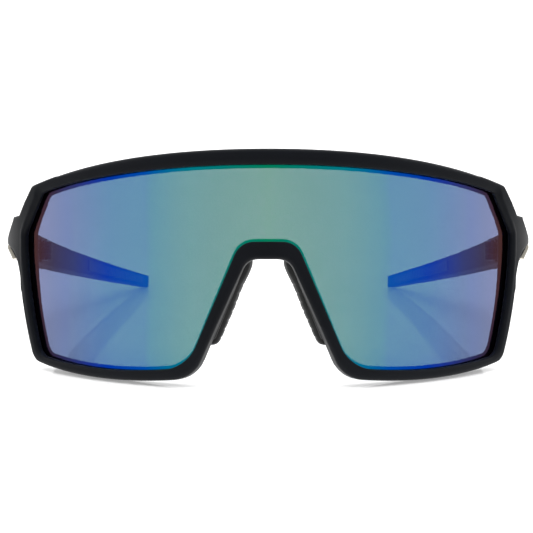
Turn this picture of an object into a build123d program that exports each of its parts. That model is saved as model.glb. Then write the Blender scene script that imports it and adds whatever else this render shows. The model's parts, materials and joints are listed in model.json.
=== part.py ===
"""Wraparound sport sunglasses: one curved shield in a full rim, with folding temples.

Every piece is drawn as it is worn: X runs across the face with the wearer's left at +X,
Y runs back along the temples and Z is up, with the foremost point of the shield at the
origin. The last step stands the glasses on their lower rim and their temple tips.
"""
from build123d import *
import os
from math import atan2, cos, degrees, radians, sin, sqrt, tan

os.makedirs("parts", exist_ok=True)

# Shield and rim
LENS_R = 88.0  # outer face of the shield, a vertical cylinder
LENS_T = 2.0
LENS_EDGE = 1.0  # shield edge hidden in the groove
GROOVE_PLAY = 0.05  # across the shield's thickness, each side
GROOVE_DEPTH_PLAY = 0.15
REAR_LIP = 0.8  # the rear lip reaches further in than the front lip
REAR_STRETCH = 1.01  # less so at the temples
RIM_PROUD = 2.2  # front of the rim ahead of the shield
RIM_DEPTH = 5.7
RIM_R = LENS_R + RIM_PROUD
BACK_R = RIM_R - RIM_DEPTH
AXIS_Y = LENS_R

# End pieces that turn back from the rim to the hinges
TURN_ANGLE = 46.0  # where the end piece leaves the rim's cylinder
END_OUT_X = 73.45
END_IN_X = 64.0
END_Y = 47.8
END_TOP = 8.8
END_BOTTOM = 0.9

# Hinges
HINGE_X = 62.8
HINGE_Y = 48.0
HINGE_Z = 4.3
KNUCKLE_R = 1.8
KNUCKLE_H = 1.5
WASHER_T = 0.2
WASHER_PLAY = 0.03
PIVOT_R = 0.6
PIVOT_PLAY = 0.04
HINGE_GAP = WASHER_T + 2 * WASHER_PLAY
HINGE_H = 3 * KNUCKLE_H + 2 * HINGE_GAP
LEAF_T = 1.1
LEAF_L = 8.8
RELIEF_R = KNUCKLE_R + 0.25
SEAT_PLAY = 0.03
SCREW_R = 0.5
SCREW_HEAD_R = 1.0
SCREW_HEAD_H = 0.5
SCREW_L = 3.4

# Temples
TEMPLE_Y = 48.1
TIP_Y = 160.0
TEMPLE_L = TIP_Y - TEMPLE_Y
TIP_IN_X = 42.1
TIP_OUT_X = 45.6
TOP_FALL = (8.0, 4.25)  # straight and curved share of the drop to the tip
BOTTOM_FALL = (5.45, 3.05)
RIDGE_SHARE = 0.54  # height of the styling ridge on the outer face
UNDERCUT = 0.25  # of the temple's thickness
ACCENT_T = 0.75
GRIP_PROUD = 0.35
GRIP_DEEP = 0.6

# Nose parts
CLIP_T = 1.45
CLIP_PLAY = 0.05
CLIP_R = BACK_R - CLIP_PLAY - CLIP_T
PEG_R = 0.5
PEG_L = 1.0
PEGS = ((3.0, 3.3), (13.2, -15.0))
PAD_SLOPE = 0.424

# Stands on the lower rim and the temple tips
RIM_LOW_Y = 14.3
RIM_LOW_Z = -29.3
TIP_ROUNDING = 0.1  # lifts the tip's lower edge
TIP_LOW_Z = END_BOTTOM - sum(BOTTOM_FALL) + TIP_ROUNDING
STAND_ANGLE = degrees(atan2(TIP_LOW_Z - RIM_LOW_Z, TIP_Y - RIM_LOW_Y))


def corner(sketch, u, z, radius):
    """Round the two mirrored corners of a sketch that lie at (u, z) and (-u, z)."""
    found = [v for v in sketch.vertices() if abs(abs(v.X) - u) < 0.1 and abs(v.Y - z) < 0.1]
    fillet(found, radius)


def rim_outline():
    """Outside of the rim, unrolled: arc length across, height up."""
    with BuildSketch() as flat:
        with BuildLine():
            Spline((0, 29.95), (25.3, 29.05), (48.4, 26.25), (69.6, 21.75), tangents=[(1, 0), (1, -0.25)])
            Polyline((69.6, 21.75), (77.1, 12.5), (77.5, 7.0), (76.2, 0.0))
            Spline((76.2, 0.0), (74.1, -9.4), (68.7, -25.3))
            Spline((68.7, -25.3), (52.0, -28.6), (37.0, -29.65), (19.0, -28.8))
            Polyline((19.0, -28.8), (5.35, 1.7), (0, 1.7))
            mirror(about=Plane.YZ)
        make_face()
        corner(flat, 69.6, 21.75, 1.6)
        corner(flat, 68.7, -25.3, 4.2)
        corner(flat, 19.0, -28.8, 8.0)
        corner(flat, 5.35, 1.7, 4.0)
    return flat.sketch


def opening_outline():
    """Edge of the front lip round the shield, unrolled."""
    with BuildSketch() as flat:
        with BuildLine():
            Spline((0, 25.85), (20.7, 25.35), (43.6, 23.4), (66.0, 19.6), tangents=[(1, 0), (1, -0.25)])
            Line((66.0, 19.6), (73.3, 8.9))
            Spline((73.3, 8.9), (72.8, 0.3), (70.5, -11.7), (66.5, -23.8))
            Spline((66.5, -23.8), (50.1, -26.35), (35.0, -26.95), (20.67, -25.95))
            Polyline((20.67, -25.95), (7.05, 6.2), (0, 6.2))
            mirror(about=Plane.YZ)
        make_face()
        corner(flat, 66.0, 19.6, 1.3)
        corner(flat, 73.3, 8.9, 3.0)
        corner(flat, 66.5, -23.8, 4.2)
        corner(flat, 20.67, -25.95, 9.5)
        corner(flat, 7.05, 6.2, 5.0)
    return flat.sketch


def clip_outline():
    """Flat shape of the U that carries the nose pads, unrolled."""
    with BuildSketch() as flat:
        with BuildLine():
            Polyline((0, 4.7), (6.65, 4.7), (16.75, -19.0), (14.5, -19.0), (5.5, 1.95), (0, 1.95))
            mirror(about=Plane.YZ)
        make_face()
        corner(flat, 6.65, 4.7, 4.0)
        corner(flat, 5.5, 1.95, 3.0)
        corner(flat, 16.75, -19.0, 0.9)
        corner(flat, 14.5, -19.0, 0.9)
    return flat.sketch


def grown(flat, amount):
    with BuildSketch() as result:
        offset(flat, amount=amount)
    return result.sketch


def radial_solid(flat, inner_r, outer_r, stretch=1.0):
    """Wrap an unrolled outline round the shield's axis, with walls square to the shield."""
    with BuildPart() as solid:
        for reach in (0.45 * inner_r, 1.1 * outer_r):
            with BuildSketch(Plane.XZ.offset(reach - AXIS_Y)):
                with BuildLine():
                    for edge in flat.face().outer_wire().order_edges():
                        steps = max(2, round(edge.length / 2.5))
                        points = [edge.position_at(i / steps) for i in range(steps + 1)]
                        Spline(*[(reach * tan(stretch * p.X / LENS_R), p.Y) for p in points])
                make_face()
        loft(ruled=True)
        with BuildSketch(Plane.XY.offset(-40)):
            with Locations((0, AXIS_Y)):
                Circle(outer_r)
                Circle(inner_r, mode=Mode.SUBTRACT)
        extrude(amount=80, mode=Mode.INTERSECT)
    return solid.part


def plan_band():
    """Plan view of rim and end pieces, as tall as the whole front."""
    turn = radians(TURN_ANGLE)
    leave = (RIM_R * sin(turn), AXIS_Y - RIM_R * cos(turn))
    bend_out = (END_OUT_X - leave[0]) / (1 - sin(turn))
    inner_turn = radians(45)
    inner_leave = (BACK_R * sin(inner_turn), AXIS_Y - BACK_R * cos(inner_turn))
    bend_in = (END_IN_X - inner_leave[0]) / (1 - sin(inner_turn))
    with BuildPart() as band:
        with BuildSketch(Plane.XY.offset(-35)):
            with BuildLine():
                outer_middle = (RIM_R * sin(turn / 2), AXIS_Y - RIM_R * cos(turn / 2))
                ThreePointArc((0, AXIS_Y - RIM_R), outer_middle, leave)
                outer = JernArc(leave, (cos(turn), sin(turn)), bend_out, 90 - TURN_ANGLE)
                Polyline(outer @ 1, (END_OUT_X, END_Y), (END_IN_X, END_Y))
                inner = JernArc(inner_leave, (cos(inner_turn), sin(inner_turn)), bend_in, 45)
                Line((END_IN_X, END_Y), inner @ 1)
                middle = (BACK_R * sin(inner_turn / 2), AXIS_Y - BACK_R * cos(inner_turn / 2))
                ThreePointArc(inner_leave, middle, (0, AXIS_Y - BACK_R))
                mirror(about=Plane.YZ)
            make_face()
        extrude(amount=70)
    return band.part


def end_piece_block():
    """Side view of both end pieces, as wide as the whole front."""
    with BuildPart() as block:
        with BuildSketch(Plane.YZ):
            with BuildLine():
                Spline((26.6, 17.2), (28.2, 14.75), (33.2, 13.6), tangents=[(1, -1.78), (1, -0.2)])
                hollow = [(33.2, 13.6), (36.4, 10.9), (41, 8.7), (END_Y, END_TOP)]
                Spline(*hollow, tangents=[(1, -0.9), (1, 0)])
                Polyline((END_Y, END_TOP), (END_Y, END_BOTTOM), (30, -1), (26.6, -3), (26.6, 17.2))
            make_face()
        extrude(amount=80, both=True)
    return block.part


def flank_cutter():
    """Undercut below the styling ridge of the left end piece, fading out towards the rim."""
    with BuildPart() as cutter:
        for y, root in ((28.0, 67.5), (END_Y + 1, 70.6)):
            with BuildSketch(Plane.XZ.offset(-y)):
                with BuildLine():
                    side = Spline((root, -3), (root + 0.7, 1), (root + 1.7, 3.9), (root + 3.3, 6))
                    Polyline(side @ 1, (root + 6.3, 9), (82, 9), (82, -12), (root, -12), side @ 0)
                make_face()
        loft(ruled=True)
    return cutter.part


def leaf_screws(positions, play=0.0):
    """Countersunk screws through a hinge leaf, or with play the holes for them."""
    with BuildPart() as screws:
        for y in positions:
            start = Plane(origin=(END_IN_X, y, HINGE_Z), x_dir=(1, 0, 0), z_dir=(0, 0, 1))
            with BuildSketch(start):
                Polygon(
                    (0, 0),
                    (0, SCREW_HEAD_R + play),
                    (SCREW_HEAD_H, SCREW_R + play),
                    (SCREW_L + play, SCREW_R + play),
                    (SCREW_L + play, 0),
                    align=None,
                )
            revolve(axis=Axis((END_IN_X, y, HINGE_Z), (1, 0, 0)))
        if play == 0:
            for y in positions:
                with Locations((END_IN_X, y, HINGE_Z)):
                    Box(0.4, 2 * SCREW_HEAD_R, 0.25, mode=Mode.SUBTRACT)
    return screws.part


INWARD = (Align.MIN, Align.CENTER, Align.CENTER)
KNUCKLE_Z = [HINGE_Z + step * (KNUCKLE_H + HINGE_GAP) for step in (-1, 0, 1)]
FRONT_LEAF_Y = HINGE_Y - 2.4 - LEAF_L / 2
TEMPLE_LEAF_Y = HINGE_Y + 2.6 + LEAF_L / 2
FRONT_SCREW_Y = (FRONT_LEAF_Y - 2.0, FRONT_LEAF_Y + 1.6)
TEMPLE_SCREW_Y = (TEMPLE_LEAF_Y - 1.6, TEMPLE_LEAF_Y + 2.0)


def hinge_leaf(leaf_y, levels, pivot_hole_r, screw_y):
    """Leaf let into the plastic, with arms out to its knuckles."""
    with BuildPart() as leaf:
        with Locations((END_IN_X, leaf_y, HINGE_Z)):
            Box(LEAF_T, LEAF_L, HINGE_H, align=INWARD)
        reach = abs(leaf_y - HINGE_Y) - LEAF_L / 2
        arm_y = HINGE_Y + reach / 2 * (1 if leaf_y > HINGE_Y else -1)
        for z in levels:
            with Locations((HINGE_X, arm_y, z)):
                Box(KNUCKLE_R, reach, KNUCKLE_H, align=INWARD)
            with Locations((HINGE_X, HINGE_Y, z)):
                Cylinder(KNUCKLE_R, KNUCKLE_H)
        with Locations((HINGE_X, HINGE_Y, HINGE_Z)):
            Cylinder(pivot_hole_r, HINGE_H + 1, mode=Mode.SUBTRACT)
        add(leaf_screws(screw_y, SEAT_PLAY), mode=Mode.SUBTRACT)
    return leaf


def hinge_seat(leaf_y, screw_y, levels):
    """Room for one leaf, its arms, the knuckles and the screws."""
    with BuildPart() as seat:
        with Locations((END_IN_X - 2, leaf_y, HINGE_Z)):
            Box(
                LEAF_T + 2 + SEAT_PLAY,
                LEAF_L + 2 * SEAT_PLAY,
                HINGE_H + 2 * SEAT_PLAY,
                align=INWARD,
            )
        for z in levels:
            with Locations((END_IN_X - 2, (leaf_y + HINGE_Y) / 2, z)):
                Box(
                    HINGE_X + KNUCKLE_R - END_IN_X + 2 + SEAT_PLAY,
                    abs(leaf_y - HINGE_Y),
                    KNUCKLE_H + 2 * SEAT_PLAY,
                    align=INWARD,
                )
        with Locations((HINGE_X, HINGE_Y, HINGE_Z)):
            Cylinder(RELIEF_R, HINGE_H + 1.5)
        add(leaf_screws(screw_y, SEAT_PLAY))
    return seat.part


def fall(share, amounts):
    return amounts[0] * share + amounts[1] * share**2


def bow(y, tip_x, root_x):
    """Plan view of a temple face: an arc that starts straight back and closes in."""
    drop = root_x - tip_x
    radius = (TEMPLE_L**2 + drop**2) / (2 * drop)
    return root_x - radius + sqrt(radius**2 - (y - TEMPLE_Y) ** 2)


def temple_size(y):
    share = (y - TEMPLE_Y) / TEMPLE_L
    x_in = bow(y, TIP_IN_X, END_IN_X)
    x_out = bow(y, TIP_OUT_X, END_OUT_X)
    bottom = END_BOTTOM - fall(share, BOTTOM_FALL)
    top = END_TOP - fall(share, TOP_FALL)
    return x_in, x_out, bottom, top


def make_temple():
    with BuildPart() as temple:
        for y in (TEMPLE_Y, 62, 80, 100, 120, 140, 152, TIP_Y):
            x_in, x_out, bottom, top = temple_size(y)
            thick = x_out - x_in
            ridge = bottom + RIDGE_SHARE * (top - bottom)
            with BuildSketch(Plane.XZ.offset(-y)) as section:
                with BuildLine():
                    Polyline(
                        (x_in, bottom),
                        (x_in, top),
                        (x_out, top),
                        (x_out, ridge),
                        (x_out - UNDERCUT * thick, bottom),
                        close=True,
                    )
                make_face()
                crown = section.vertices().sort_by(lambda v: v.X + v.Y)[-1]
                fillet(crown, 0.2 * thick)
                others = [v for v in section.vertices() if v.X < x_in + 0.01 or v.Y < ridge + 0.01]
                fillet(others, 0.085 * thick)
        loft()
        with BuildSketch(Plane.YZ) as side:
            with BuildLine():
                Polyline((TEMPLE_Y, 20), (TIP_Y, 20), (TIP_Y - 0.6, -20), (TEMPLE_Y, -20), close=True)
            make_face()
        extrude(amount=90, mode=Mode.INTERSECT)
        add(accent_solid(), mode=Mode.SUBTRACT)
        add(grip_solid(), mode=Mode.SUBTRACT)
        add(hinge_seat(TEMPLE_LEAF_Y, TEMPLE_SCREW_Y, KNUCKLE_Z[1:2]), mode=Mode.SUBTRACT)
    return temple


def accent_solid():
    """Thin trim strip let into the outer face, bent over the styling ridge."""
    with BuildPart() as accent:
        for y, size in ((TEMPLE_Y + 0.3, 1.0), (60, 0.92), (74, 0.75), (90, 0.45)):
            x_in, x_out, bottom, top = temple_size(y)
            under = UNDERCUT * (x_out - x_in)
            ridge = bottom + RIDGE_SHARE * (top - bottom)
            reach = 0.72 * size * (ridge - bottom)
            foot = x_out - under * 0.6 * size
            proud = ACCENT_T * (0.5 + 0.5 * size)
            with BuildSketch(Plane.XZ.offset(-y)):
                with BuildLine():
                    Polyline(
                        (x_out - 0.5, ridge + 1.1 * size),
                        (x_out + proud, ridge + 0.9 * size),
                        (x_out + proud, ridge - 0.1),
                        (foot + 0.93 * proud, ridge - reach - 0.37 * proud),
                        (foot - 0.5, ridge - reach + 0.2),
                        (x_out - 0.6, ridge),
                        close=True,
                    )
                make_face()
        loft(ruled=True)
    return accent.part


def grip_solid():
    """Soft insert on the inner face of the temple, ahead of the tip."""
    with BuildPart() as grip:
        for y in (108, 122, 138, 154):
            x_in, x_out, bottom, top = temple_size(y)
            height = 0.56 * (top - bottom)
            with BuildSketch(Plane.XZ.offset(-y)):
                with Locations((x_in - GRIP_PROUD, (top + bottom) / 2)):
                    Rectangle(GRIP_PROUD + GRIP_DEEP, height, align=(Align.MIN, Align.CENTER))
        loft()
    return grip.part


def make_nose_pad():
    """Soft pad on one leg of the clip, opening out towards the face."""
    front = ((0, 8.2), (0.3, 6.2), (1.4, 4.7), (3.5, 4.7), (4.5, 7.2))
    wing = ((5.4, 12.0), (5.5, 15.2), (4.3, 15.9), (2.6, 13.2), (0.9, 10.6))
    middle = (2.8, 9.6)
    ends = ((2.2, 0.55), (1.4, 0.85), (0, 1), (-3, 1), (-10, 1), (-16.5, 1), (-19.4, 0.95), (-20.5, 0.6))
    with BuildPart() as pad:
        for z, size in ends:
            left = 4.64 - PAD_SLOPE * (z + 1.2)
            with BuildSketch(Plane.XY.offset(z)):
                with BuildLine():
                    points = [
                        (left + middle[0] + size * (x - middle[0]), middle[1] + size * (y - middle[1]))
                        for x, y in front + wing
                    ]
                    Spline(*points, periodic=True)
                make_face()
        loft()
        with BuildSketch(Plane.XY.offset(-40)):
            with Locations((0, AXIS_Y)):
                Circle(CLIP_R)
        extrude(amount=80, mode=Mode.INTERSECT)
    return pad


# Fixed front
lens_flat = grown(opening_outline(), LENS_EDGE)
rim_solid = radial_solid(rim_outline(), BACK_R - 4, RIM_R + 4)
front_window = radial_solid(opening_outline(), LENS_R - 1, RIM_R + 6)
rear_flat = grown(opening_outline(), -REAR_LIP)
rear_window = radial_solid(rear_flat, BACK_R - 20, LENS_R - 1, REAR_STRETCH)
groove_flat = grown(opening_outline(), LENS_EDGE + GROOVE_DEPTH_PLAY)
groove = radial_solid(groove_flat, LENS_R - LENS_T - GROOVE_PLAY, LENS_R + GROOVE_PLAY)
lens_solid = radial_solid(lens_flat, LENS_R - LENS_T, LENS_R)
clip_solid = radial_solid(clip_outline(), CLIP_R, CLIP_R + CLIP_T)
end_blocks = end_piece_block()
band = plan_band()
left_flank = flank_cutter()
left_seat = hinge_seat(FRONT_LEAF_Y, FRONT_SCREW_Y, KNUCKLE_Z[::2])

with BuildPart() as front_frame:
    add(rim_solid)
    add(end_blocks)
    add(band, mode=Mode.INTERSECT)
    for cutter in (left_flank, left_seat):
        add(cutter, mode=Mode.SUBTRACT)
        add(cutter.mirror(Plane.YZ), mode=Mode.SUBTRACT)
    for cutter in (front_window, rear_window, groove):
        add(cutter, mode=Mode.SUBTRACT)
    for x, z in PEGS:
        back_y = AXIS_Y - sqrt(BACK_R**2 - x**2)
        with Locations((x, back_y, z), (-x, back_y, z)):
            Cylinder(PEG_R + SEAT_PLAY, 2 * (PEG_L + 0.1), rotation=(90, 0, 0), mode=Mode.SUBTRACT)

with BuildPart() as shield_lens:
    add(lens_solid)

with BuildPart() as nose_clip:
    add(clip_solid)
    for x, z in PEGS:
        back_y = AXIS_Y - sqrt(BACK_R**2 - x**2)
        with Locations((x, back_y, z), (-x, back_y, z)):
            Cylinder(PEG_R, 2 * PEG_L, rotation=(90, 0, 0))

# Left side, with the right side mirrored from it below
nose_pad = make_nose_pad()
front_hinge = hinge_leaf(FRONT_LEAF_Y, KNUCKLE_Z[::2], PIVOT_R + PIVOT_PLAY / 2, FRONT_SCREW_Y)
temple_hinge = hinge_leaf(TEMPLE_LEAF_Y, KNUCKLE_Z[1:2], PIVOT_R + PIVOT_PLAY, TEMPLE_SCREW_Y)
temple = make_temple()

with BuildPart() as front_hinge_screws:
    add(leaf_screws(FRONT_SCREW_Y))

with BuildPart() as temple_hinge_screws:
    add(leaf_screws(TEMPLE_SCREW_Y))

with BuildPart() as hinge_screw:
    with Locations((HINGE_X, HINGE_Y, HINGE_Z)):
        Cylinder(PIVOT_R, HINGE_H + 0.4)
    with Locations((HINGE_X, HINGE_Y, HINGE_Z + HINGE_H / 2)):
        Cylinder(1.15, 0.55, align=(Align.CENTER, Align.CENTER, Align.MIN))
    with Locations((HINGE_X, HINGE_Y, HINGE_Z + HINGE_H / 2 + 0.55)):
        Box(3, 0.3, 0.5, mode=Mode.SUBTRACT)

with BuildPart() as hinge_washers:
    for z in (HINGE_Z - (KNUCKLE_H + HINGE_GAP) / 2, HINGE_Z + (KNUCKLE_H + HINGE_GAP) / 2):
        with Locations((HINGE_X, HINGE_Y, z)):
            Cylinder(KNUCKLE_R - 0.15, WASHER_T)
    with Locations((HINGE_X, HINGE_Y, HINGE_Z)):
        Cylinder(PIVOT_R + PIVOT_PLAY, HINGE_H, mode=Mode.SUBTRACT)

with BuildPart() as temple_accent:
    add(accent_solid())

with BuildPart() as temple_grip:
    add(grip_solid())

pieces = {"front_frame": front_frame, "shield_lens": shield_lens, "nose_clip": nose_clip}
left_pieces = {
    "nose_pad": nose_pad,
    "front_hinge": front_hinge,
    "front_hinge_screws": front_hinge_screws,
    "hinge_screw": hinge_screw,
    "hinge_washers": hinge_washers,
    "temple": temple,
    "temple_hinge": temple_hinge,
    "temple_hinge_screws": temple_hinge_screws,
    "temple_accent": temple_accent,
    "temple_grip": temple_grip,
}
for name, left in left_pieces.items():
    with BuildPart() as right:
        mirror(left.part, about=Plane.YZ)
    pieces[name + "_left"] = left
    pieces[name + "_right"] = right

# Stand the glasses on the lower rim and the temple tips, centred over the origin
tilt = Rot(X=-STAND_ANGLE)
boxes = [(tilt * pieces[name].part).bounding_box(optimal=True) for name in ("front_frame", "temple_left")]
low_z = min(box.min.Z for box in boxes)
middle_y = (min(box.min.Y for box in boxes) + max(box.max.Y for box in boxes)) / 2
stand = Pos(0, -middle_y, -low_z) * tilt

for name, piece in pieces.items():
    placed = piece.part.moved(stand)
    placed.label = name
    export_step(placed, f"parts/{name}.step")

for name, point in {
    "hinge": (HINGE_X, HINGE_Y, HINGE_Z),
    "nose bridge": (0, AXIS_Y - BACK_R, 1.7),
    "temple tip": (TIP_IN_X, TIP_Y, (END_TOP - sum(TOP_FALL) + TIP_LOW_Z) / 2),
}.items():
    print(name, (stand * Pos(*point)).position)
print("hinge axis", (Rot(X=-STAND_ANGLE) * Pos(0, 0, 1)).position, "tilt", STAND_ANGLE)
print("boxes", boxes, "shift", middle_y, low_z)
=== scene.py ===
"""Looks for the wraparound sport sunglasses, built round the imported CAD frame."""

import json
from math import cos, pi, radians

import bmesh
import bpy
import numpy as np
from mathutils import Matrix, Vector
from mathutils.kdtree import KDTree

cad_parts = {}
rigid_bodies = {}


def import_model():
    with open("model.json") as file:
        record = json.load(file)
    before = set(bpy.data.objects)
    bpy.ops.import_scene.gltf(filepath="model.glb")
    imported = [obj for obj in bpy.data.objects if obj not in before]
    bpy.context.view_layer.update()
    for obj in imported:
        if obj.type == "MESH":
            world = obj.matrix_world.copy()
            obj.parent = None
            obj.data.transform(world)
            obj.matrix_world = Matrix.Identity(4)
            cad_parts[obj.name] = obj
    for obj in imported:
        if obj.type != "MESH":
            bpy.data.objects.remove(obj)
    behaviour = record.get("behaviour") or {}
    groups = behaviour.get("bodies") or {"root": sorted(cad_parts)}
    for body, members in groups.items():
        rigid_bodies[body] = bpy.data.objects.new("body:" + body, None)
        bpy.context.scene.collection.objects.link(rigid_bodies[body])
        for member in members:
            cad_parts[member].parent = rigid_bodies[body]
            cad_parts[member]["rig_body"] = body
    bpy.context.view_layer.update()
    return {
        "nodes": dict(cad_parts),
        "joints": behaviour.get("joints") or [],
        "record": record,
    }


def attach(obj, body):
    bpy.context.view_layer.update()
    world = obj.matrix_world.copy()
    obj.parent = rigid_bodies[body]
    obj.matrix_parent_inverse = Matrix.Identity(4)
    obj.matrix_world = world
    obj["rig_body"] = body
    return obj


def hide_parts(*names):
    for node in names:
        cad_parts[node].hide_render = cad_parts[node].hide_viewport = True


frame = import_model()

MM = 0.001
WHITE = (1, 1, 1, 1)

# The worn frame: upright, with the foremost point of the shield at its origin. The packed
# part stands tilted in its row frame, and the left hinge tells both how far and from where.
HINGE_WORN = Vector((62.8, 48.0, 4.3))
SHIELD_R = 88.0
RIM_R = 90.2
joint = {j["name"]: j for j in frame["joints"]}["temple_left_fold"]
UP = Vector(joint["axis"])
BACK = Vector((1, 0, 0)).cross(UP) * -1
WORN_AXES = Matrix(((1, 0, 0), BACK, UP)).transposed()
ORIGIN = Vector(joint["pos_m"]) - WORN_AXES @ (HINGE_WORN * MM)


def row(x, y, z):
    """A point of the worn frame, in millimetres, as a point of the row frame."""
    return ORIGIN + WORN_AXES @ (Vector((x, y, z)) * MM)


def to_worn(points):
    """Row frame points as an array of worn millimetres."""
    return (np.asarray(points) - np.array(ORIGIN)) @ np.array(WORN_AXES) / MM


def to_row(points):
    return np.asarray(points) * MM @ np.array(WORN_AXES).T + np.array(ORIGIN)


# ---------------------------------------------------------------- materials


class Nodes:
    """Short way to write the node tree of a material or a world."""

    def __init__(self, holder):
        self.holder = holder
        holder.use_nodes = True
        self.tree = holder.node_tree
        self.tree.nodes.clear()

    def add(self, kind, settings=None, **inputs):
        node = self.tree.nodes.new("ShaderNode" + kind)
        for key, value in (settings or {}).items():
            setattr(node, key, value)
        for key, value in inputs.items():
            socket = node.inputs[int(key[1:])] if key[0] == "i" and key[1:].isdigit() else None
            if socket is None:
                socket = node.inputs[key.replace("_", " ")]
            if isinstance(value, bpy.types.NodeSocket):
                self.tree.links.new(value, socket)
            else:
                socket.default_value = value
        return node

    def math(self, operation, a, b=0.0, clamp=False):
        settings = {"operation": operation, "use_clamp": clamp}
        return self.add("Math", settings, i0=a, i1=b).outputs[0]

    def vector(self, operation, a, b=None, output="Vector"):
        """A vector operation; the dot product and the length come out as output Value."""
        second = {} if b is None else {"i1": b}
        return self.add("VectorMath", {"operation": operation}, i0=a, **second).outputs[output]

    def span(self, value, low, high, start, end):
        """Map value from low..high to start..end."""
        node = self.add("MapRange", Value=value)
        ends = {"From Min": low, "From Max": high, "To Min": start, "To Max": end}
        for name, number in ends.items():
            node.inputs[name].default_value = number
        return node.outputs[0]

    def ramp(self, value, stops, smooth=True):
        node = self.add("ValToRGB", i0=value)
        node.color_ramp.interpolation = "B_SPLINE" if smooth else "LINEAR"
        while len(node.color_ramp.elements) < len(stops):
            node.color_ramp.elements.new(0.5)
        for element, (place, colour) in zip(node.color_ramp.elements, stops):
            element.position = place
            element.color = (*colour, 1)
        return node.outputs[0]

    def finish(self, shader, output="OutputMaterial"):
        self.add(output, Surface=shader)
        return self.holder


def place(tree):
    return tree.add("TexCoord").outputs["Object"]


def noise(tree, coordinates, size, detail=3.0, roughness=0.5):
    """Noise whose features are about size metres across."""
    node = tree.add(
        "TexNoise", Vector=coordinates, Scale=1 / size, Detail=detail, Roughness=roughness
    )
    return node.outputs[0]


# Moulded plastic: size of its mottling, grain and pits in metres, and how much they change it
MOTTLE = 0.012
GRAIN = 0.00022
PITS = 0.0003
PIT_SHARE = 0.6
GRAIN_HEIGHT = 0.00004
GLOSS_DRIFT = 0.14
TONE_DRIFT = 0.18


def tones(tree, value, low, high, colour, dark, light):
    """The colour from dark to light times itself as value goes from low to high."""
    stops = [(low, [dark * c for c in colour]), (high, [light * c for c in colour])]
    return tree.ramp(value, stops)


def moulded_plastic(name, colour, gloss, shine, grain):
    """Matt moulded plastic with a spark-eroded grain."""
    t = Nodes(bpy.data.materials.new(name))
    where = place(t)
    broad = noise(t, where, MOTTLE)
    fine = noise(t, where, GRAIN, detail=2)
    cells = t.add("TexVoronoi", Vector=where, Scale=1 / PITS).outputs["Distance"]
    rough = t.math("ADD", t.math("MULTIPLY", broad, GLOSS_DRIFT), gloss - GLOSS_DRIFT / 2)
    tone = tones(t, broad, 0.3, 0.7, colour, 1 - TONE_DRIFT, 1 + TONE_DRIFT)
    height = t.math("ADD", fine, t.math("MULTIPLY", cells, PIT_SHARE))
    bump = t.add("Bump", Strength=grain, Distance=GRAIN_HEIGHT, Height=height)
    shader = t.add(
        "BsdfPrincipled",
        Base_Color=tone,
        Roughness=rough,
        Specular_IOR_Level=shine,
        Normal=bump.outputs[0],
    )
    return t.finish(shader.outputs[0])


# Elastomer: size of its mottling, height of its powder, roughness and how much that varies
RUBBER_MOTTLE = 0.004
POWDER_HEIGHT = 0.00003
RUBBER_ROUGH = 0.55
RUBBER_DRIFT = 0.25


def soft_rubber(name, colour, size):
    """Dull elastomer with a powdery surface."""
    t = Nodes(bpy.data.materials.new(name))
    where = place(t)
    powder = noise(t, where, size, detail=4, roughness=0.7)
    broad = noise(t, where, RUBBER_MOTTLE)
    rough = t.math("ADD", t.math("MULTIPLY", powder, RUBBER_DRIFT), RUBBER_ROUGH)
    tone = tones(t, broad, 0.3, 0.7, colour, 0.75, 1.3)
    bump = t.add("Bump", Strength=0.35, Distance=POWDER_HEIGHT, Height=powder)
    shader = t.add(
        "BsdfPrincipled",
        Base_Color=tone,
        Roughness=rough,
        Specular_IOR_Level=0.35,
        Sheen_Weight=0.15,
        Sheen_Roughness=0.6,
        Normal=bump.outputs[0],
    )
    return t.finish(shader.outputs[0])


# Brushed metal: size of its mottling, depth of its scratches and how much they change the gloss
METAL_MOTTLE = 0.003
SCRATCH_HEIGHT = 0.00002
SCRATCH_DRIFT = 0.22


def brushed_metal(name, colour, gloss, stretch):
    """Metal with fine parallel scratches; stretch is the grain's length along each axis."""
    t = Nodes(bpy.data.materials.new(name))
    where = place(t)
    along = t.add("Mapping", Vector=where, Scale=[1 / s for s in stretch]).outputs[0]
    lines = t.add("TexNoise", Vector=along, Scale=1.0, Detail=3.0).outputs[0]
    broad = noise(t, where, METAL_MOTTLE)
    rough = t.math("ADD", t.math("MULTIPLY", lines, SCRATCH_DRIFT), gloss - SCRATCH_DRIFT / 2)
    tone = tones(t, broad, 0.25, 0.75, colour, 0.85, 1)
    bump = t.add("Bump", Strength=0.2, Distance=SCRATCH_HEIGHT, Height=lines)
    shader = t.add(
        "BsdfPrincipled",
        Base_Color=tone,
        Metallic=1.0,
        Roughness=rough,
        Normal=bump.outputs[0],
    )
    return t.finish(shader.outputs[0])


# The room is dim in front of the glasses and grows brighter towards a lit backdrop
FRONT_LIGHT = 0.42
BACKDROP = 1.45
BACKDROP_FULL = 0.9


def light_from(backward):
    """The room's brightness this far backward, from -1 in front to 1 behind."""
    share = (backward + 1) / (BACKDROP_FULL + 1)
    return FRONT_LIGHT + (BACKDROP - FRONT_LIGHT) * share


# Colour of the shield's coating by distance from the middle of the shield, in millimetres:
# the mirror turns from green through blue and violet to copper, as its layers are seen more
# and more from the side
COATING_SPAN = 66.0
MIRRORED = (
    (0, (0, 0.2, 0.1)),
    (20, (0, 0.18, 0.23)),
    (32, (0, 0.065, 0.36)),
    (42, (0, 0.03, 0.33)),
    (52, (0.025, 0.03, 0.13)),
    (58, (0.03, 0.018, 0.045)),
    (64, (0.05, 0.013, 0.007)),
)
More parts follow.
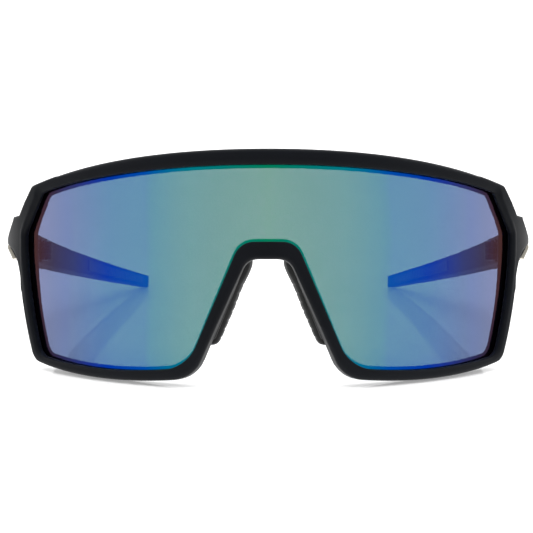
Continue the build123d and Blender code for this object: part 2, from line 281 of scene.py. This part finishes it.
# The light that the coating lets through, from grey through gold green to pale blue
PASSED = (
    (0, (0.175, 0.145, 0.2)),
    (20, (0.145, 0.135, 0.11)),
    (30, (0.11, 0.185, 0.045)),
    (42, (0.115, 0.21, 0.075)),
    (54, (0.135, 0.19, 0.3)),
    (60, (0.16, 0.21, 0.36)),
)
MIRROR_SHARE = 0.7
COATING_DEPTH = 0.4
COLOUR_DRIFT = 0.05
HAZE = 0.015
POLISH = 0.02
BARE_GLOSS = 0.03
SHIELD_IOR = 1.58


def mirror_shield(name):
    """Tinted polycarbonate whose outer face carries a multilayer mirror coating."""
    t = Nodes(bpy.data.materials.new(name))
    where = place(t)
    split = t.add("SeparateXYZ", Vector=where)
    across = t.math("DIVIDE", t.math("ABSOLUTE", split.outputs[0]), COATING_SPAN * MM)
    # Distance from the shield's vertical axis tells the coated face from the bare ones
    centre = row(0, SHIELD_R, 0)
    offset = t.vector("SUBTRACT", where, centre)
    upward = t.vector("DOT_PRODUCT", offset, UP, "Value")
    total = t.vector("DOT_PRODUCT", offset, offset, "Value")
    radius = t.math("SQRT", t.math("SUBTRACT", total, t.math("MULTIPLY", upward, upward)))
    coated = t.math("GREATER_THAN", radius, (SHIELD_R - COATING_DEPTH) * MM)

    drift = t.math("SUBTRACT", noise(t, where, 0.03, detail=1), 0.5)
    across = t.math("ADD", across, t.math("MULTIPLY", drift, COLOUR_DRIFT), clamp=True)
    haze = noise(t, where, 0.008, detail=2)
    rough = t.math("ADD", t.math("MULTIPLY", haze, HAZE), POLISH)
    share = MIRROR_SHARE
    stops = []
    for x, colour in MIRRORED:
        light = light_from(-cos(2 * x / SHIELD_R))
        stops.append((x / COATING_SPAN, [c / light / share for c in colour]))
    mirrored = t.ramp(across, stops, smooth=False)
    stops = []
    for x, colour in PASSED:
        stops.append((x / COATING_SPAN, [c / BACKDROP / (1 - share) for c in colour]))
    passed = t.ramp(across, stops, smooth=False)
    mirror = t.add("BsdfPrincipled", Base_Color=mirrored, Metallic=1.0, Roughness=rough).outputs[0]
    coating = t.add("MixShader", i0=share, i1=through(t, passed), i2=mirror).outputs[0]
    gloss = t.add("BsdfGlossy", Color=WHITE, Roughness=rough).outputs[0]
    bare = t.add("MixShader", i0=BARE_GLOSS, i1=through(t, WHITE), i2=gloss).outputs[0]
    return t.finish(t.add("MixShader", i0=coated, i1=bare, i2=coating).outputs[0])


def through(tree, colour):
    """What passes into polycarbonate: bent for sight, straight for lamps."""
    bent = tree.add("BsdfRefraction", Color=colour, Roughness=0.0, IOR=SHIELD_IOR).outputs[0]
    straight = tree.add("BsdfTransparent", Color=colour).outputs[0]
    shadow = tree.add("LightPath").outputs["Is Shadow Ray"]
    return tree.add("MixShader", i0=shadow, i1=bent, i2=straight).outputs[0]


BLACK = (0.003, 0.004, 0.0065)
CHROME = (0.6, 0.59, 0.57)
CHAMPAGNE = (0.78, 0.74, 0.64)
MATERIALS = {
    "frame_plastic": moulded_plastic("frame_plastic", BLACK, 0.5, 0.16, 0.3),
    "temple_plastic": moulded_plastic("temple_plastic", BLACK, 0.5, 0.16, 0.3),
    "carrier_plastic": moulded_plastic("carrier_plastic", (0.012, 0.012, 0.013), 0.42, 0.4, 0.2),
    "pad_rubber": soft_rubber("pad_rubber", (0.022, 0.022, 0.022), 0.0002),
    "grip_rubber": soft_rubber("grip_rubber", (0.016, 0.016, 0.017), 0.00025),
    "hinge_steel": brushed_metal("hinge_steel", (0.06, 0.06, 0.063), 0.45, (0.0002, 0.002, 0.002)),
    "screw_steel": brushed_metal("screw_steel", CHROME, 0.26, (0.0004, 0.0004, 0.002)),
    "washer_nylon": moulded_plastic("washer_nylon", (0.03, 0.03, 0.032), 0.45, 0.4, 0.15),
    "accent_metal": brushed_metal("accent_metal", CHAMPAGNE, 0.3, (0.0003, 0.006, 0.0003)),
    "mirror_shield": mirror_shield("mirror_shield"),
}
SLOTS = {item["node"]: item["material_slot"] for item in frame["record"]["subparts"]}
for node, slot in SLOTS.items():
    for holder in frame["nodes"][node].material_slots:
        holder.material = MATERIALS[slot]

# ---------------------------------------------------------------- front moulding

VOXEL = 0.356
FEATURE_ANGLE = radians(18)
SAMPLE_STEP = 0.2
WELD = 0.002
# Radii of the rounded edges: most of the rim, the nose cut-out, the top, lips, creases and holes
EDGE_ROUND = 0.85
NOSE_ROUND = 1.0
TOP_ROUND = 1.4
LIP_ROUND = 0.3
CREASE_ROUND = 0.6
HOLE_ROUND = 0.12
# Where on the worn frame each of those radii starts or ends
TOP_FROM = 15
TOP_HALF = 60
NOSE_HALF = 24
NOSE_TOP = 2.2
LIP_REACH = 1.4
RIM_BACK = 33
END_INSIDE = 70
HINGE_SEAT = 47
PEG_HOLES = ((3.1, 3.3), (13.8, -15.0))
PEG_HOLE_REACH = 0.9
# A face counts as facing outward, or as the rim's front, past these limits
OUTWARD = 0.8
FRONT_DEPTH = 0.6
LINK = 1.2
# Bevel round the shield: (arc length across, height) on the half outline, width, depth
BEVEL = (
    ((0, 25.85), 1.4, 0.4),
    ((35, 24.3), 1.4, 0.4),
    ((50, 22.6), 1.7, 0.5),
    ((60, 20.8), 2.0, 0.6),
    ((65.5, 19.6), 1.9, 0.75),
    ((68, 16.5), 1.0, 1.05),
    ((70.5, 12.7), 0.7, 1.05),
    ((72.8, 8.5), 0.5, 0.6),
    ((70.8, -9), 0.45, 0.55),
    ((66.9, -23), 0.6, 0.5),
    ((50, -26.3), 0.8, 0.4),
    ((30, -26.9), 0.4, 0.25),
    ((16, -17), 0.3, 0.2),
    ((0, 6.2), 0.3, 0.2),
)
# Where the end pieces leave the rim, above and below: a blend too tight to round (back, up)
JUNCTIONS = ((26.6, 17.2), (26.6, -3.0))
JUNCTION_REACH = 1.5


def unrolled(points):
    """Worn points as arc length across the shield, height, and distance from its axis."""
    x, y, z = np.asarray(points).T
    return np.stack([np.arctan2(x, SHIELD_R - y) * SHIELD_R, z, np.hypot(x, SHIELD_R - y)], axis=1)


def tree_of(points):
    tree = KDTree(len(points))
    for i, point in enumerate(points):
        tree.insert(point, i)
    tree.balance()
    return tree


def nearest(points, targets):
    """For each point, which target is nearest and how far away it is."""
    tree = tree_of(targets)
    found = [tree.find(point)[1:] for point in points]
    return np.array([f[0] for f in found]), np.array([f[1] for f in found])


def get_points(mesh):
    points = np.empty(len(mesh.vertices) * 3)
    mesh.vertices.foreach_get("co", points)
    return points.reshape(-1, 3)


def set_points(mesh, points):
    mesh.vertices.foreach_set("co", np.ascontiguousarray(points, np.float32).ravel())
    mesh.update()


def evaluated(mesh, kind, **settings):
    """The mesh with one modifier applied."""
    holder = bpy.data.objects.new("work", mesh)
    bpy.context.scene.collection.objects.link(holder)
    modifier = holder.modifiers.new("work", kind)
    for key, value in settings.items():
        setattr(modifier, key, value)
    graph = bpy.context.evaluated_depsgraph_get()
    made = bpy.data.meshes.new_from_object(holder.evaluated_get(graph), depsgraph=graph)
    bpy.data.objects.remove(holder)
    return made


def voxels(mesh, size):
    return evaluated(mesh, "REMESH", mode="VOXEL", voxel_size=size, use_smooth_shade=True)


def smoothed(points, mesh, rounds, strength=0.5):
    """Laplacian smoothing."""
    ends = np.empty(len(mesh.edges) * 2, np.int32)
    mesh.edges.foreach_get("vertices", ends)
    a, b = ends.reshape(-1, 2).T
    count = np.bincount(ends, minlength=len(points))[:, None]
    for _ in range(rounds):
        total = np.zeros_like(points)
        for axis in range(3):
            total[:, axis] = np.bincount(a, points[b, axis], len(points))
            total[:, axis] += np.bincount(b, points[a, axis], len(points))
        points = points + strength * (total / count - points)
    return points


def welded_worn(source):
    """A CAD mesh joined along its seams, in worn millimetres."""
    solid = bmesh.new()
    solid.from_mesh(source)
    for vertex, point in zip(solid.verts, to_worn([v.co for v in source.vertices])):
        vertex.co = point
    bmesh.ops.remove_doubles(solid, verts=solid.verts, dist=WELD)
    solid.normal_update()
    return solid


def sharp_edges(solid, step=SAMPLE_STEP):
    """Samples along the convex sharp edges: place, and the normals of the two faces."""
    places, normals_a, normals_b = [], [], []
    for edge in solid.edges:
        face_a, face_b = edge.link_faces
        if not edge.is_convex or face_a.normal.angle(face_b.normal) < FEATURE_ANGLE:
            continue
        steps = int(edge.calc_length() / step) + 1
        for i in range(steps):
            places.append(edge.verts[0].co.lerp(edge.verts[1].co, (i + 0.5) / steps))
            normals_a.append(face_a.normal)
            normals_b.append(face_b.normal)
    return np.array(places), np.array(normals_a), np.array(normals_b)


def opening_samples(places, normals_a, normals_b):
    """Which samples run round the shield's opening on the front face."""
    flat = unrolled(places)
    radial = np.stack([places[:, 0], places[:, 1] - SHIELD_R], axis=1) / flat[:, 2:]
    facing = [(n[:, :2] * radial).sum(1) > OUTWARD for n in (normals_a, normals_b)]
    at_front = np.flatnonzero((flat[:, 2] > RIM_R - FRONT_DEPTH) & (facing[0] != facing[1]))
    # The opening's loop is the one that passes under the middle of the top rim
    tree = tree_of([(*flat[i, :2], 0) for i in at_front])
    start = tree.find((0, BEVEL[0][0][1], 0))[1]
    found, waiting = {start}, [start]
    while waiting:
        here = at_front[waiting.pop()]
        for _, i, _ in tree.find_range((*flat[here, :2], 0), LINK):
            if i not in found:
                found.add(i)
                waiting.append(i)
    return at_front[sorted(found)]


def bevel_sizes(across_height):
    """Width and depth of the bevel next to each place, blended between the stations."""
    stations = np.array([s[0] for s in BEVEL], float)
    sizes = np.array([s[1:] for s in BEVEL], float)
    here = np.stack([np.abs(across_height[:, 0]), across_height[:, 1]], axis=1)
    gaps = ((here[:, None] - stations[None]) ** 2).sum(2)
    weights = 1 / (gaps + 0.5) ** 2
    return (weights @ sizes) / weights.sum(1, keepdims=True)


def cut_bevel(points, opening):
    """Lower the front face next to the opening."""
    flat = unrolled(points)
    near = (flat[:, 2] > SHIELD_R + 1) & (points[:, 1] < RIM_BACK - 1)
    which, gap = nearest([(u, z, 0) for u, z in flat[near, :2]], [(u, z, 0) for u, z in opening])
    width, depth = bevel_sizes(opening[which]).T
    cap = np.full(len(points), np.inf)
    cap[near] = np.where(gap < width, RIM_R - depth * (1 - gap / width), RIM_R + 1)
    scale = np.minimum(1, cap / flat[:, 2])
    result = points.copy()
    result[:, 0] = points[:, 0] * scale
    result[:, 1] = SHIELD_R + (points[:, 1] - SHIELD_R) * scale
    return result


def edge_radius(places, opening):
    """How far each sharp edge of the moulding is rounded."""
    flat = unrolled(places)
    x, y, z = places.T
    radius = np.full(len(places), EDGE_ROUND)
    radius[(z > TOP_FROM) & (np.abs(flat[:, 0]) < TOP_HALF)] = TOP_ROUND
    radius[(np.abs(flat[:, 0]) < NOSE_HALF) & (z < NOSE_TOP)] = NOSE_ROUND
    _, gap = nearest([(*p, 0) for p in flat[:, :2]], [(*p, 0) for p in opening])
    radius[(gap < LIP_REACH) & (y < RIM_BACK)] = LIP_ROUND
    radius[(y > RIM_BACK) & (np.abs(x) < END_INSIDE)] = LIP_ROUND
    radius[y > HINGE_SEAT] = LIP_ROUND
    for across, height in PEG_HOLES:
        at_hole = np.hypot(np.abs(flat[:, 0]) - across, z - height) < PEG_HOLE_REACH
        radius[at_hole] = HOLE_ROUND
    return radius


def bevel_edges(places, normals_a, normals_b, opening):
    """The bevel's two edges, in place of the square edge it cuts off."""
    radial = unit(np.stack([places[:, 0], places[:, 1] - SHIELD_R, 0 * places[:, 2]], axis=1))
    a_is_face = (normals_a * radial).sum(1) > OUTWARD
    wall = np.where(a_is_face[:, None], normals_b, normals_a)
    width, depth = bevel_sizes(opening).T[:, :, None]
    slope = unit(radial * width + wall * depth)
    far = places - wall * width
    far_radial = unit(np.stack([far[:, 0], far[:, 1] - SHIELD_R, 0 * far[:, 2]], axis=1))
    far += far_radial * (RIM_R - unrolled(far)[:, 2:])
    near = places - radial * depth
    return (
        np.concatenate([near, far]),
        np.concatenate([wall, slope]),
        np.concatenate([slope, far_radial]),
        np.repeat([LIP_ROUND / 2, CREASE_ROUND], len(places)),
    )


def unit(vectors):
    return vectors / np.linalg.norm(vectors, axis=1, keepdims=True)


# How far from a sharp edge a point is moved, in radii and in voxels, and how far it may go
ROUND_REACH = 1.6
VOXEL_REACH = 1.2
ROUND_SLACK = 0.45
ROUND_EXTRA = 0.2
FLAT_SLACK = 0.7


def round_edges(points, places, normals_a, normals_b, radius, voxel=VOXEL):
    """Move the points next to each sharp edge on to a round of that radius."""
    which, gap = nearest(points, places)
    near = gap < np.maximum(ROUND_REACH * radius[which], VOXEL_REACH * voxel)
    which = which[near]
    edge, na, nb, r = places[which], normals_a[which], normals_b[which], radius[which, None]
    cosine = (na * nb).sum(1, keepdims=True)
    tangent = unit(np.cross(na, nb))
    centre = edge - (na + nb) * r / (1 + cosine)
    arm = points[near] - centre
    arm -= tangent * (arm * tangent).sum(1, keepdims=True)
    share_a = (arm * na).sum(1, keepdims=True) - cosine * (arm * nb).sum(1, keepdims=True)
    share_b = (arm * nb).sum(1, keepdims=True) - cosine * (arm * na).sum(1, keepdims=True)
    length = np.linalg.norm(arm, axis=1, keepdims=True)
    close = np.abs(length - r) < ROUND_SLACK * r + ROUND_EXTRA
    in_corner = (share_a > 0) & (share_b > 0) & close
    round_move = arm / np.maximum(length, 1e-6) * (r - length)
    depth_a = -((points[near] - edge) * na).sum(1, keepdims=True)
    depth_b = -((points[near] - edge) * nb).sum(1, keepdims=True)
    flat_a = (share_b <= 0) & (np.abs(depth_a) < FLAT_SLACK * voxel)
    flat_b = (share_a <= 0) & (np.abs(depth_b) < FLAT_SLACK * voxel)
    move = np.where(in_corner, round_move, 0)
    move = np.where(flat_a, na * depth_a, move)
    move = np.where(flat_b & ~flat_a, nb * depth_b, move)
    result = points.copy()
    result[near] += move
    return result


def front_moulding():
    """The front remade with the rounded edges and the bevelled opening of the real moulding."""
    solid = welded_worn(frame["nodes"]["front_frame"].data)
    samples = sharp_edges(solid)
    blank = bpy.data.meshes.new("blank")
    solid.to_mesh(blank)
    solid.free()
    which = opening_samples(*samples)
    opening = unrolled(samples[0][which])[:, :2]
    rounds = edge_radius(samples[0], opening)
    bevel = bevel_edges(*(v[which] for v in samples), opening)
    kept = np.delete(np.arange(len(rounds)), which)
    at_junction = [np.hypot(*(samples[0][kept, 1:] - j).T) < JUNCTION_REACH for j in JUNCTIONS]
    kept = kept[~np.any(at_junction, axis=0)]
    edges = [np.concatenate([v[kept], b]) for v, b in zip((*samples, rounds), bevel)]

    rough = voxels(blank, VOXEL)
    set_points(rough, cut_bevel(get_points(rough), opening))
    mesh = voxels(rough, VOXEL)
    points = smoothed(get_points(mesh), mesh, 3)
    points = cut_bevel(points, opening)
    points = round_edges(points, *edges)
    points = smoothed(points, mesh, 1, 0.3)
    points = round_edges(points, *edges)
    points = smoothed(points, mesh, 2, 0.4)
    set_points(mesh, to_row(points))
    stand_for("front_frame", mesh)


def stand_for(node, mesh):
    """Show this mesh in place of a CAD node."""
    mesh.name = node + "_finished"
    mesh.materials.clear()
    mesh.materials.append(MATERIALS[SLOTS[node]])
    piece = bpy.data.objects.new(node + "_finished", mesh)
    bpy.context.scene.collection.objects.link(piece)
    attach(piece, frame["nodes"][node]["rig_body"])
    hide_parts(node)


front_moulding()

# ---------------------------------------------------------------- smaller pieces

RIB_PITCH = 2.3
PAD_RIBS = (-18.6, -5.0)
PAD_RIB_DEPTH = 0.14
PAD_RIB_FADE = 0.8
GRIP_RIBS = (110.0, 152.0)
GRIP_RIB_DEPTH = 0.28
GRIP_RIB_LEAN = 0.5
GRIP_RIB_FADE = 1.5


def vertex_normals(mesh):
    normals = np.empty(len(mesh.vertices) * 3)
    mesh.vertex_normals.foreach_get("vector", normals)
    return normals.reshape(-1, 3)


def between(value, low, high, fade):
    """One between low and high, fading to nothing over fade outside them."""
    inside = np.minimum(value - low, high - value) / fade + 1
    return np.clip(inside, 0, 1)


def grooves(along):
    """Narrow grooves, one each pitch."""
    return np.maximum(np.cos(2 * pi * along / RIB_PITCH), 0) ** 3


def pad_ribs(points, normals, side):
    """Grip ribs on the face of a nose pad that lies on the nose."""
    facing = np.clip(-side * normals[:, 0] * 2 - 0.3, 0, 1)
    zone = between(points[:, 2], *PAD_RIBS, PAD_RIB_FADE)
    return -PAD_RIB_DEPTH * facing * zone * grooves(points[:, 2] - PAD_RIBS[0])


def grip_ribs(points, normals, side):
    """Slanting ribs on the face of a temple grip that lies on the head."""
    facing = np.clip(-side * normals[:, 0] * 2 - 0.6, 0, 1)
    along = points[:, 1] + GRIP_RIB_LEAN * points[:, 2]
    zone = between(points[:, 1], *GRIP_RIBS, GRIP_RIB_FADE)
    return -GRIP_RIB_DEPTH * facing * zone * grooves(along)


def finished(node, voxel, radius, relief=None, rounds=2):
    """A CAD node with its sharp edges rounded, and with its moulded relief."""
    solid = welded_worn(frame["nodes"][node].data)
    places, normals_a, normals_b = sharp_edges(solid, voxel)
    blank = bpy.data.meshes.new("blank")
    solid.to_mesh(blank)
    solid.free()
    mesh = voxels(blank, voxel)
    points = smoothed(get_points(mesh), mesh, rounds)
    if len(places):
        edges = (places, normals_a, normals_b, np.full(len(places), radius))
        points = round_edges(points, *edges, voxel)
        points = smoothed(points, mesh, 1, 0.3)
        points = round_edges(points, *edges, voxel)
        points = smoothed(points, mesh, 1, 0.3)
    set_points(mesh, points)
    if relief:
        normals = vertex_normals(mesh)
        side = 1 if node.endswith("left") else -1
        points = points + normals * relief(points, normals, side)[:, None]
    set_points(mesh, to_row(points))
    stand_for(node, mesh)


finished("nose_clip", voxel=0.3, radius=0.3)
for hand in ("left", "right"):
    finished("nose_pad_" + hand, voxel=0.26, radius=0.4, relief=pad_ribs, rounds=6)
    finished("temple_" + hand, voxel=0.36, radius=0.35)
    finished("temple_grip_" + hand, voxel=0.22, radius=0.2, relief=grip_ribs)
    finished("temple_accent_" + hand, voxel=0.2, radius=0.15)
    finished("front_hinge_" + hand, voxel=0.12, radius=0.12)
    finished("temple_hinge_" + hand, voxel=0.12, radius=0.12)
    finished("hinge_screw_" + hand, voxel=0.07, radius=0.08)
    finished("front_hinge_screws_" + hand, voxel=0.06, radius=0.06)
    finished("temple_hinge_screws_" + hand, voxel=0.06, radius=0.06)

# ---------------------------------------------------------------- stage

FLOOR_HALF = 6.0
FLOOR_IOR = 1.15
FLOOR_BLUR = 0.035
FLOOR_MOTTLE = 0.4
TABLE_GLOW = 0.34
# Painted pool of light on the floor, seen in reflections: full within the first distance from the
# middle, gone past the second, in metres
PAINTED_POOL_REACH = (0.1, 0.22)


def floor():
    """Pale glossy light table; mirrored in the glasses it is painted as a glow as bright as the
    room, not lit and shaded, with a painted pool of light round the glasses.
    """
    half = FLOOR_HALF
    mesh = bpy.data.meshes.new("floor")
    corners = [(-half, -half, 0), (half, -half, 0), (half, half, 0), (-half, half, 0)]
    mesh.from_pydata(corners, [], [(0, 1, 2, 3)])
    plane = bpy.data.objects.new("floor", mesh)
    bpy.context.scene.collection.objects.link(plane)
    t = Nodes(bpy.data.materials.new("pale_floor"))
    where = place(t)
    broad = noise(t, where, FLOOR_MOTTLE)
    tone = t.ramp(broad, [(0.3, (0.86, 0.86, 0.86)), (0.7, (0.9, 0.9, 0.9))])
    matt = t.add("BsdfDiffuse", Color=tone).outputs[0]
    glossy = t.add("BsdfGlossy", Color=WHITE, Roughness=FLOOR_BLUR).outputs[0]
    shine = t.add("Fresnel", IOR=FLOOR_IOR).outputs[0]
    glow = t.add("Emission", Color=WHITE, Strength=TABLE_GLOW).outputs[0]
    lit = t.add("AddShader", i0=matt, i1=glow).outputs[0]
    table = t.add("MixShader", i0=shine, i1=lit, i2=glossy).outputs[0]
    # Painted pool of light round the glasses, as bright as the backdrop near them and fading
    # outward
    near = t.span(t.vector("LENGTH", where, output="Value"), *PAINTED_POOL_REACH, BACKDROP, 0.0)
    # Painted light for reflections: the room's brightness by direction across the floor from the
    # middle, or the painted pool where that is brighter
    painted_reflection_light = t.math("MAXIMUM", room_light(t, where), near)
    painted_glow = t.add("Emission", Color=WHITE, Strength=painted_reflection_light).outputs[0]
    # Glossy rays that are not transmission rays see this painted glow in place of the lit table
    path = t.add("LightPath")
    sight = t.math("SUBTRACT", 1.0, path.outputs["Is Transmission Ray"])
    mirrored = t.math("MULTIPLY", path.outputs["Is Glossy Ray"], sight)
    mesh.materials.append(t.finish(t.add("MixShader", i0=mirrored, i1=table, i2=painted_glow).outputs[0]))


def room_light(tree, direction):
    """The room's brightness each way from the glasses: a lit backdrop behind them."""
    split = tree.add("SeparateXYZ", Vector=direction)
    x, y = split.outputs[0], split.outputs[1]
    squares = [tree.math("MULTIPLY", side, side) for side in (x, y)]
    length = tree.math("SQRT", tree.math("ADD", *squares))
    backward = tree.math("DIVIDE", y, tree.math("MAXIMUM", length, 1e-4))
    return tree.span(backward, -1.0, BACKDROP_FULL, FRONT_LIGHT, BACKDROP)


def world():
    """Studio room, white to sight."""
    t = Nodes(bpy.data.worlds.new("studio"))
    path = t.add("LightPath")
    sight = t.math("MAXIMUM", path.outputs["Is Camera Ray"], path.outputs["Is Transmission Ray"])
    room = room_light(t, t.add("TexCoord").outputs["Generated"])
    strength = t.add("Mix", {"data_type": "FLOAT"}, Factor=sight, A=room, B=BACKDROP)
    light = t.add("Background", Color=WHITE, Strength=strength.outputs[0])
    bpy.context.scene.world = t.finish(light.outputs[0], "OutputWorld")


def lamp(name, origin, power, angle):
    """A broad light shining on the glasses from this point's direction."""
    data = bpy.data.lights.new(name, "SUN")
    data.energy = power
    data.angle = radians(angle)
    holder = bpy.data.objects.new(name, data)
    holder.location = origin
    holder.rotation_euler = Vector(origin).to_track_quat("Z", "Y").to_euler()
    holder.visible_glossy = False
    bpy.context.scene.collection.objects.link(holder)


def lights():
    lamp("overhead", (0, 0.2, 1.5), 2.0, 80)
    lamp("side_left", (0.8, -0.15, 0.42), 0.5, 60)
    lamp("side_right", (-0.8, -0.15, 0.42), 0.5, 60)


# Millimetres in front of the shield, and how far the lens is shifted
CAMERA_DISTANCE = 420
CAMERA_SHIFT = (-0.0032, -0.0009)
FOCAL_LENGTH = 111.16


def camera():
    data = bpy.data.cameras.new("camera")
    data.sensor_width = 36.0
    data.lens = FOCAL_LENGTH
    data.shift_x, data.shift_y = CAMERA_SHIFT
    data.clip_start, data.clip_end = 0.01, 20
    holder = bpy.data.objects.new("camera", data)
    holder.location = row(0, -CAMERA_DISTANCE, 0)
    holder.rotation_euler = BACK.to_track_quat("-Z", "Y").to_euler()
    bpy.context.scene.collection.objects.link(holder)
    bpy.context.scene.camera = holder


floor()
world()
lights()
camera()
bpy.context.scene.view_settings.view_transform = "Standard"
